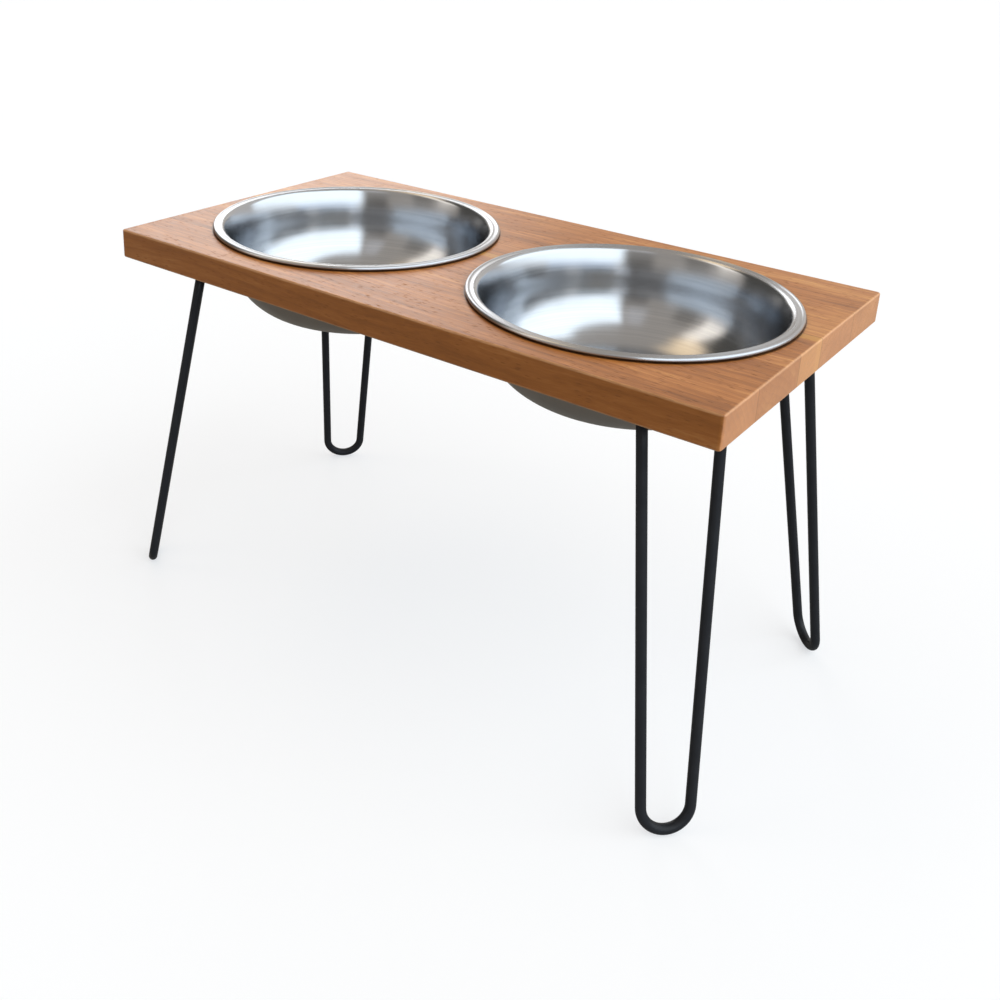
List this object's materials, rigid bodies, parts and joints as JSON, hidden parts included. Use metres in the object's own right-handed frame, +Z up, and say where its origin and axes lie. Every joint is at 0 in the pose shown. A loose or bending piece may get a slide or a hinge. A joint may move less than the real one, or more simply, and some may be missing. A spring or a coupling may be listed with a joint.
{
  "type": "raised pet feeding stand",
  "caption": "Raised feeding stand for a pet: a glued timber board on splayed steel hairpin legs, with round drop-in steel bowls that lift out for washing.",
  "frame": {"origin": "on the floor under the middle of the board", "axes": "+Z up, +X along the board's length to the right as seen from its front, -Y the long front edge"},
  "size_m": [0.577, 0.3092, 0.3369],
  "materials": {
    "timber": "oiled",
    "bowl_steel": "satin",
    "leg_rod": "satin",
    "leg_plate": "satin",
    "weld_metal": "satin",
    "screw_steel": "zinc plated"
  },
  "bodies": {
    "stand": {"board_front_stave": "timber", "board_second_stave": "timber", "board_middle_stave": "timber", "board_fourth_stave": "timber", "board_back_stave": "timber", "front_left_hairpin": "leg_rod", "front_right_hairpin": "leg_rod", "back_left_hairpin": "leg_rod", "back_right_hairpin": "leg_rod", "front_left_plate": "leg_plate", "front_right_plate": "leg_plate", "back_left_plate": "leg_plate", "back_right_plate": "leg_plate", "front_left_welds": "weld_metal", "front_right_welds": "weld_metal", "back_left_welds": "weld_metal", "back_right_welds": "weld_metal", "front_left_screws": "screw_steel", "front_right_screws": "screw_steel", "back_left_screws": "screw_steel", "back_right_screws": "screw_steel"},
    "left_bowl": {"left_bowl": "bowl_steel"},
    "right_bowl": {"right_bowl": "bowl_steel"}
  },
  "joints": [
    {"name": "left_bowl_lift", "type": "slide", "parent": "stand", "child": "left_bowl", "axis": [0, 0, 1], "range_m": [0, 0.09]},
    {"name": "right_bowl_lift", "type": "slide", "parent": "stand", "child": "right_bowl", "axis": [0, 0, 1], "range_m": [0, 0.09]}
  ]
}
